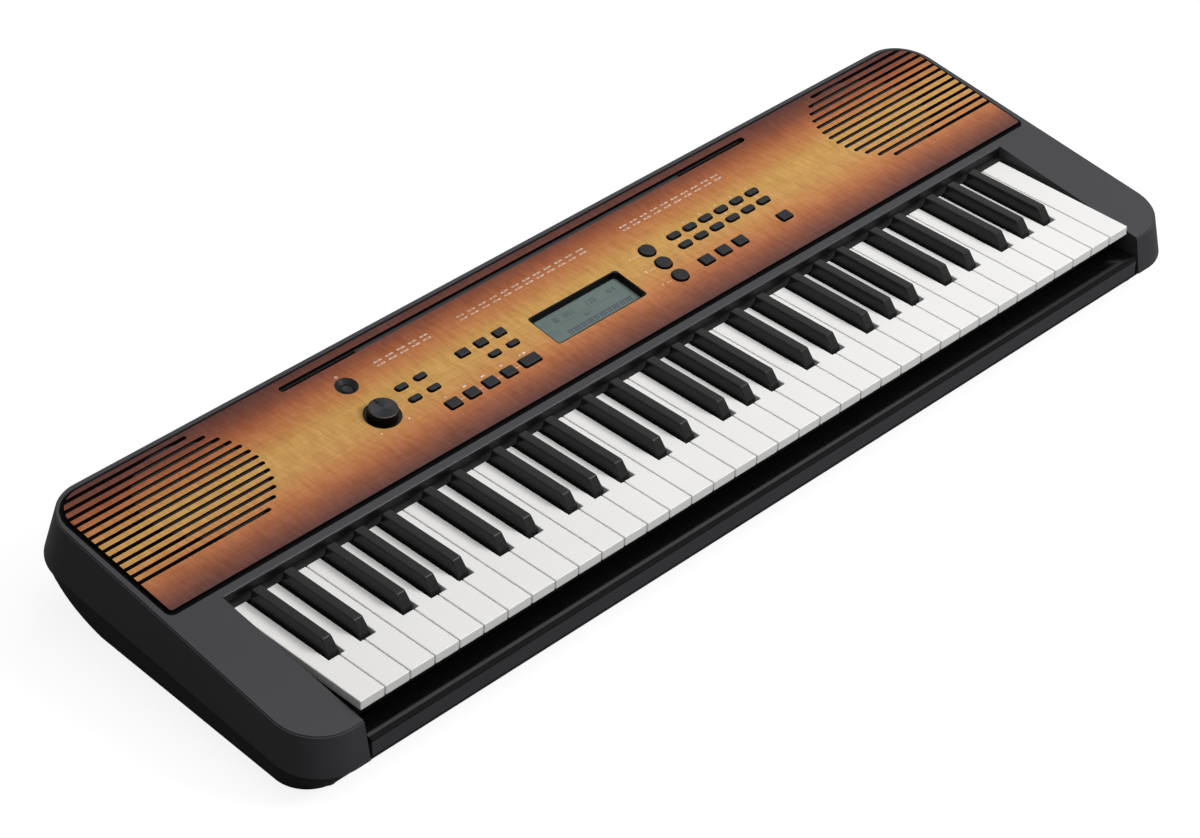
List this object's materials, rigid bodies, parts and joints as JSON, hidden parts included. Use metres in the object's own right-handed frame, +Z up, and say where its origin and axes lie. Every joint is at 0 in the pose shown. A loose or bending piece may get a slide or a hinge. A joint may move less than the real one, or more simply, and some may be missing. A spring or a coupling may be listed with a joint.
{
  "type": "arranger keyboard",
  "caption": "Portable arranger keyboard with full-size keys, a sloping sunburst wood-pattern control panel, slotted speakers at both ends, a display, buttons and a volume knob.",
  "frame": {"origin": "on the table under the middle of the case, at the height of the feet", "axes": "+X towards the treble end, +Y towards the back of the case, +Z up"},
  "size_m": [0.941, 0.317, 0.1],
  "materials": {
    "case_plastic": "moulded charcoal plastic, fine grain",
    "lower_plastic": "moulded near black plastic",
    "panel_finish": "printed flamed maple pattern in a sunburst from gold to dark brown, satin lacquer",
    "white_plastic": "moulded white, satin gloss",
    "black_plastic": "moulded black, satin",
    "button_plastic": "moulded dark grey, satin",
    "knob_finish": "radially spun top with a bright chamfer",
    "rubber": "matt black",
    "speaker_cloth": "black acoustic cloth",
    "chassis_plastic": "moulded black",
    "circuit_board": "solder-masked board",
    "display_glass": "grey-green reflective display",
    "speaker_metal": "satin steel",
    "connector_plastic": "moulded black"
  },
  "bodies": {
    "case": {"upper_case": "case_plastic", "lower_case": "lower_plastic", "control_panel": "panel_finish", "front_rail": "case_plastic", "keybed_chassis": "chassis_plastic", "key_contact_board": "circuit_board", "main_board": "circuit_board", "panel_board": "circuit_board", "display_glass": "display_glass", "display_frame": "button_plastic", "speaker_left": "speaker_metal", "speaker_right": "speaker_metal", "speaker_cloth_left": "speaker_cloth", "speaker_cloth_right": "speaker_cloth", "battery_cover": "lower_plastic", "volume_pot": "speaker_metal", "power_inlet": "connector_plastic", "headphone_jack": "connector_plastic", "foot_front_left": "rubber", "foot_front_right": "rubber", "foot_rear_left": "rubber", "foot_rear_right": "rubber"},
    "keys_c_e_g_b_octave_1": {"keys_c_e_g_b_octave_1": "white_plastic"},
    "keys_d_f_a_octave_1": {"keys_d_f_a_octave_1": "white_plastic"},
    "keys_black_octave_1": {"keys_black_octave_1": "black_plastic"},
    "keys_c_e_g_b_octave_2": {"keys_c_e_g_b_octave_2": "white_plastic"},
    "keys_d_f_a_octave_2": {"keys_d_f_a_octave_2": "white_plastic"},
    "keys_black_octave_2": {"keys_black_octave_2": "black_plastic"},
    "keys_c_e_g_b_octave_3": {"keys_c_e_g_b_octave_3": "white_plastic"},
    "keys_d_f_a_octave_3": {"keys_d_f_a_octave_3": "white_plastic"},
    "keys_black_octave_3": {"keys_black_octave_3": "black_plastic"},
    "keys_c_e_g_b_octave_4": {"keys_c_e_g_b_octave_4": "white_plastic"},
    "keys_d_f_a_octave_4": {"keys_d_f_a_octave_4": "white_plastic"},
    "keys_black_octave_4": {"keys_black_octave_4": "black_plastic"},
    "keys_c_e_g_b_octave_5": {"keys_c_e_g_b_octave_5": "white_plastic"},
    "keys_d_f_a_octave_5": {"keys_d_f_a_octave_5": "white_plastic"},
    "keys_black_octave_5": {"keys_black_octave_5": "black_plastic"},
    "key_top_c": {"key_top_c": "white_plastic"},
    "pills_front": {"pills_front": "button_plastic"},
    "pills_rear": {"pills_rear": "button_plastic"},
    "small_pills": {"small_pills": "button_plastic"},
    "mode_button_1": {"mode_button_1": "button_plastic"},
    "mode_button_2": {"mode_button_2": "button_plastic"},
    "mode_button_3": {"mode_button_3": "button_plastic"},
    "transport_button_1": {"transport_button_1": "button_plastic"},
    "transport_button_2": {"transport_button_2": "button_plastic"},
    "transport_button_3": {"transport_button_3": "button_plastic"},
    "transport_button_4": {"transport_button_4": "button_plastic"},
    "start_button": {"start_button": "button_plastic"},
    "round_button_1": {"round_button_1": "button_plastic"},
    "round_button_2": {"round_button_2": "button_plastic"},
    "round_button_3": {"round_button_3": "button_plastic"},
    "number_pads_front": {"number_pads_front": "button_plastic"},
    "number_pads_rear": {"number_pads_rear": "button_plastic"},
    "category_button_1": {"category_button_1": "button_plastic"},
    "category_button_2": {"category_button_2": "button_plastic"},
    "category_button_3": {"category_button_3": "button_plastic"},
    "end_button": {"end_button": "button_plastic"},
    "power_button": {"power_button": "button_plastic"},
    "volume_knob": {"volume_knob": "knob_finish"}
  },
  "joints": [
    {"name": "keys_c_e_g_b_octave_1_dip", "type": "hinge", "parent": "case", "child": "keys_c_e_g_b_octave_1", "pos_m": [-0.33393, 0.05521, 0.0475], "axis": [1, 0, 0], "range_deg": [0, 3], "stiffness_Nm_per_rad": 10, "springref_deg": -5.73},
    {"name": "keys_d_f_a_octave_1_dip", "type": "hinge", "parent": "case", "child": "keys_d_f_a_octave_1", "pos_m": [-0.33393, 0.05521, 0.054], "axis": [1, 0, 0], "range_deg": [0, 3], "stiffness_Nm_per_rad": 8, "springref_deg": -5.73},
    {"name": "keys_black_octave_1_dip", "type": "hinge", "parent": "case", "child": "keys_black_octave_1", "pos_m": [-0.33393, 0.05521, 0.0605], "axis": [1, 0, 0], "range_deg": [0, 3], "stiffness_Nm_per_rad": 8, "springref_deg": -5.73},
    {"name": "keys_c_e_g_b_octave_2_dip", "type": "hinge", "parent": "case", "child": "keys_c_e_g_b_octave_2", "pos_m": [-0.17272, 0.05521, 0.0475], "axis": [1, 0, 0], "range_deg": [0, 3], "stiffness_Nm_per_rad": 10, "springref_deg": -5.73},
    {"name": "keys_d_f_a_octave_2_dip", "type": "hinge", "parent": "case", "child": "keys_d_f_a_octave_2", "pos_m": [-0.17272, 0.05521, 0.054], "axis": [1, 0, 0], "range_deg": [0, 3], "stiffness_Nm_per_rad": 8, "springref_deg": -5.73},
    {"name": "keys_black_octave_2_dip", "type": "hinge", "parent": "case", "child": "keys_black_octave_2", "pos_m": [-0.17272, 0.05521, 0.0605], "axis": [1, 0, 0], "range_deg": [0, 3], "stiffness_Nm_per_rad": 8, "springref_deg": -5.73},
    {"name": "keys_c_e_g_b_octave_3_dip", "type": "hinge", "parent": "case", "child": "keys_c_e_g_b_octave_3", "pos_m": [-0.01151, 0.05521, 0.0475], "axis": [1, 0, 0], "range_deg": [0, 3], "stiffness_Nm_per_rad": 10, "springref_deg": -5.73},
    {"name": "keys_d_f_a_octave_3_dip", "type": "hinge", "parent": "case", "child": "keys_d_f_a_octave_3", "pos_m": [-0.01151, 0.05521, 0.054], "axis": [1, 0, 0], "range_deg": [0, 3], "stiffness_Nm_per_rad": 8, "springref_deg": -5.73},
    {"name": "keys_black_octave_3_dip", "type": "hinge", "parent": "case", "child": "keys_black_octave_3", "pos_m": [-0.01151, 0.05521, 0.0605], "axis": [1, 0, 0], "range_deg": [0, 3], "stiffness_Nm_per_rad": 8, "springref_deg": -5.73},
    {"name": "keys_c_e_g_b_octave_4_dip", "type": "hinge", "parent": "case", "child": "keys_c_e_g_b_octave_4", "pos_m": [0.14969, 0.05521, 0.0475], "axis": [1, 0, 0], "range_deg": [0, 3], "stiffness_Nm_per_rad": 10, "springref_deg": -5.73},
    {"name": "keys_d_f_a_octave_4_dip", "type": "hinge", "parent": "case", "child": "keys_d_f_a_octave_4", "pos_m": [0.14969, 0.05521, 0.054], "axis": [1, 0, 0], "range_deg": [0, 3], "stiffness_Nm_per_rad": 8, "springref_deg": -5.73},
    {"name": "keys_black_octave_4_dip", "type": "hinge", "parent": "case", "child": "keys_black_octave_4", "pos_m": [0.14969, 0.05521, 0.0605], "axis": [1, 0, 0], "range_deg": [0, 3], "stiffness_Nm_per_rad": 8, "springref_deg": -5.73},
    {"name": "keys_c_e_g_b_octave_5_dip", "type": "hinge", "parent": "case", "child": "keys_c_e_g_b_octave_5", "pos_m": [0.3109, 0.05521, 0.0475], "axis": [1, 0, 0], "range_deg": [0, 3], "stiffness_Nm_per_rad": 10, "springref_deg": -5.73},
    {"name": "keys_d_f_a_octave_5_dip", "type": "hinge", "parent": "case", "child": "keys_d_f_a_octave_5", "pos_m": [0.3109, 0.05521, 0.054], "axis": [1, 0, 0], "range_deg": [0, 3], "stiffness_Nm_per_rad": 8, "springref_deg": -5.73},
    {"name": "keys_black_octave_5_dip", "type": "hinge", "parent": "case", "child": "keys_black_octave_5", "pos_m": [0.3109, 0.05521, 0.0605], "axis": [1, 0, 0], "range_deg": [0, 3], "stiffness_Nm_per_rad": 8, "springref_deg": -5.73},
    {"name": "key_top_c_dip", "type": "hinge", "parent": "case", "child": "key_top_c", "pos_m": [0.40303, 0.05521, 0.0475], "axis": [1, 0, 0], "range_deg": [0, 3], "stiffness_Nm_per_rad": 2.5, "springref_deg": -5.73},
    {"name": "pills_front_press", "type": "slide", "parent": "case", "child": "pills_front", "axis": [0, 0.1374, -0.9905], "range_m": [0, 0.001], "stiffness_N_per_m": 300, "springref_m": -0.001},
    {"name": "pills_rear_press", "type": "slide", "parent": "case", "child": "pills_rear", "axis": [0, 0.1374, -0.9905], "range_m": [0, 0.001], "stiffness_N_per_m": 300, "springref_m": -0.001},
    {"name": "small_pills_press", "type": "slide", "parent": "case", "child": "small_pills", "axis": [0, 0.1374, -0.9905], "range_m": [0, 0.001], "stiffness_N_per_m": 300, "springref_m": -0.001},
    {"name": "mode_button_1_press", "type": "slide", "parent": "case", "child": "mode_button_1", "axis": [0, 0.1374, -0.9905], "range_m": [0, 0.001], "stiffness_N_per_m": 300, "springref_m": -0.001},
    {"name": "mode_button_2_press", "type": "slide", "parent": "case", "child": "mode_button_2", "axis": [0, 0.1374, -0.9905], "range_m": [0, 0.001], "stiffness_N_per_m": 300, "springref_m": -0.001},
    {"name": "mode_button_3_press", "type": "slide", "parent": "case", "child": "mode_button_3", "axis": [0, 0.1374, -0.9905], "range_m": [0, 0.001], "stiffness_N_per_m": 300, "springref_m": -0.001},
    {"name": "transport_button_1_press", "type": "slide", "parent": "case", "child": "transport_button_1", "axis": [0, 0.1374, -0.9905], "range_m": [0, 0.001], "stiffness_N_per_m": 300, "springref_m": -0.001},
    {"name": "transport_button_2_press", "type": "slide", "parent": "case", "child": "transport_button_2", "axis": [0, 0.1374, -0.9905], "range_m": [0, 0.001], "stiffness_N_per_m": 300, "springref_m": -0.001},
    {"name": "transport_button_3_press", "type": "slide", "parent": "case", "child": "transport_button_3", "axis": [0, 0.1374, -0.9905], "range_m": [0, 0.001], "stiffness_N_per_m": 300, "springref_m": -0.001},
    {"name": "transport_button_4_press", "type": "slide", "parent": "case", "child": "transport_button_4", "axis": [0, 0.1374, -0.9905], "range_m": [0, 0.001], "stiffness_N_per_m": 300, "springref_m": -0.001},
    {"name": "start_button_press", "type": "slide", "parent": "case", "child": "start_button", "axis": [0, 0.1374, -0.9905], "range_m": [0, 0.001], "stiffness_N_per_m": 300, "springref_m": -0.001},
    {"name": "round_button_1_press", "type": "slide", "parent": "case", "child": "round_button_1", "axis": [0, 0.1374, -0.9905], "range_m": [0, 0.001], "stiffness_N_per_m": 300, "springref_m": -0.001},
    {"name": "round_button_2_press", "type": "slide", "parent": "case", "child": "round_button_2", "axis": [0, 0.1374, -0.9905], "range_m": [0, 0.001], "stiffness_N_per_m": 300, "springref_m": -0.001},
    {"name": "round_button_3_press", "type": "slide", "parent": "case", "child": "round_button_3", "axis": [0, 0.1374, -0.9905], "range_m": [0, 0.001], "stiffness_N_per_m": 300, "springref_m": -0.001},
    {"name": "number_pads_front_press", "type": "slide", "parent": "case", "child": "number_pads_front", "axis": [0, 0.1374, -0.9905], "range_m": [0, 0.001], "stiffness_N_per_m": 600, "springref_m": -0.001},
    {"name": "number_pads_rear_press", "type": "slide", "parent": "case", "child": "number_pads_rear", "axis": [0, 0.1374, -0.9905], "range_m": [0, 0.001], "stiffness_N_per_m": 600, "springref_m": -0.001},
    {"name": "category_button_1_press", "type": "slide", "parent": "case", "child": "category_button_1", "axis": [0, 0.1374, -0.9905], "range_m": [0, 0.001], "stiffness_N_per_m": 300, "springref_m": -0.001},
    {"name": "category_button_2_press", "type": "slide", "parent": "case", "child": "category_button_2", "axis": [0, 0.1374, -0.9905], "range_m": [0, 0.001], "stiffness_N_per_m": 300, "springref_m": -0.001},
    {"name": "category_button_3_press", "type": "slide", "parent": "case", "child": "category_button_3", "axis": [0, 0.1374, -0.9905], "range_m": [0, 0.001], "stiffness_N_per_m": 300, "springref_m": -0.001},
    {"name": "end_button_press", "type": "slide", "parent": "case", "child": "end_button", "axis": [0, 0.1374, -0.9905], "range_m": [0, 0.001], "stiffness_N_per_m": 300, "springref_m": -0.001},
    {"name": "power_button_press", "type": "slide", "parent": "case", "child": "power_button", "axis": [0, 0.1374, -0.9905], "range_m": [0, 0.001], "stiffness_N_per_m": 300, "springref_m": -0.001},
    {"name": "volume_knob_turn", "type": "hinge", "parent": "case", "child": "volume_knob", "pos_m": [-0.207, 0.06158, 0.08964], "axis": [0, -0.1374, 0.9905], "range_deg": [-150, 150]}
  ]
}
